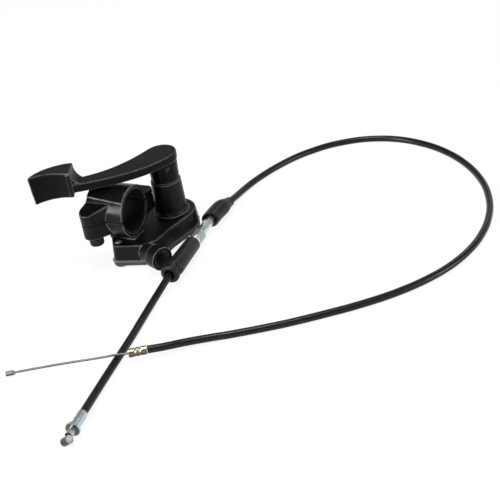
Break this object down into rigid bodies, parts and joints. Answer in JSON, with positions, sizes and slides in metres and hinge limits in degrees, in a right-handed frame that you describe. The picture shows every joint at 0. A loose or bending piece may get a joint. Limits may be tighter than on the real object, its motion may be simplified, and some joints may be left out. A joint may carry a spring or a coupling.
{
  "type": "thumb throttle lever",
  "caption": "Handlebar thumb throttle: a paddle lever turns on a column over a cast housing with a split bar clamp and cable port; its cable lies unhooked beside it.",
  "frame": {"origin": "where the lever's turning axis meets the plane that the housing's feet stand on", "axes": "+X along the handlebar bore, out of the clamp on the column's side; +Z along the lever's turning axis, up; -Y from the column towards the handlebar bore and the thumb paddle"},
  "size_m": [0.213, 0.2901, 0.0552],
  "materials": {
    "body_paint": "semi-gloss black paint on a casting",
    "lever_paint": "semi-gloss black paint on a casting",
    "cover_paint": "satin dark grey",
    "black_bolt": "black oxide",
    "steel": "plain",
    "zinc": "zinc plated, bluish",
    "nickel_brass": "nickel over brass, worn",
    "bronze": "plain sintered bronze",
    "rubber": "matt black",
    "sheath": "smooth black PVC",
    "strand": "stranded steel wire"
  },
  "bodies": {
    "housing": {"body_casting": "body_paint", "clamp_cap": "body_paint", "clamp_bolt_front": "black_bolt", "clamp_bolt_rear": "black_bolt", "bottom_cover": "cover_paint", "cover_screw_1": "steel", "cover_screw_2": "steel", "cover_screw_3": "steel", "shaft_bush_upper": "bronze", "shaft_bush_lower": "bronze", "return_spring": "steel", "lower_boot": "rubber", "upper_boot": "rubber", "adjuster_screw": "zinc", "lock_nut": "zinc", "adjuster": "zinc", "lower_sheath": "sheath", "upper_sheath": "sheath", "lever_end_ferrule": "zinc", "barrel_nipple": "zinc", "carburettor_ferrule": "nickel_brass", "inner_wire": "strand", "carburettor_nipple": "steel"},
    "lever": {"thumb_lever": "lever_paint", "lever_shaft": "steel", "lever_cross_pin": "steel", "cable_pull_arm": "steel", "shaft_nut": "steel"}
  },
  "joints": [
    {"name": "lever_hinge", "type": "hinge", "parent": "housing", "child": "lever", "pos_m": [0, 0, 0], "axis": [0, 0, 1], "range_deg": [-34, 0], "stiffness_Nm_per_rad": 0.12, "springref_deg": 14.32}
  ]
}
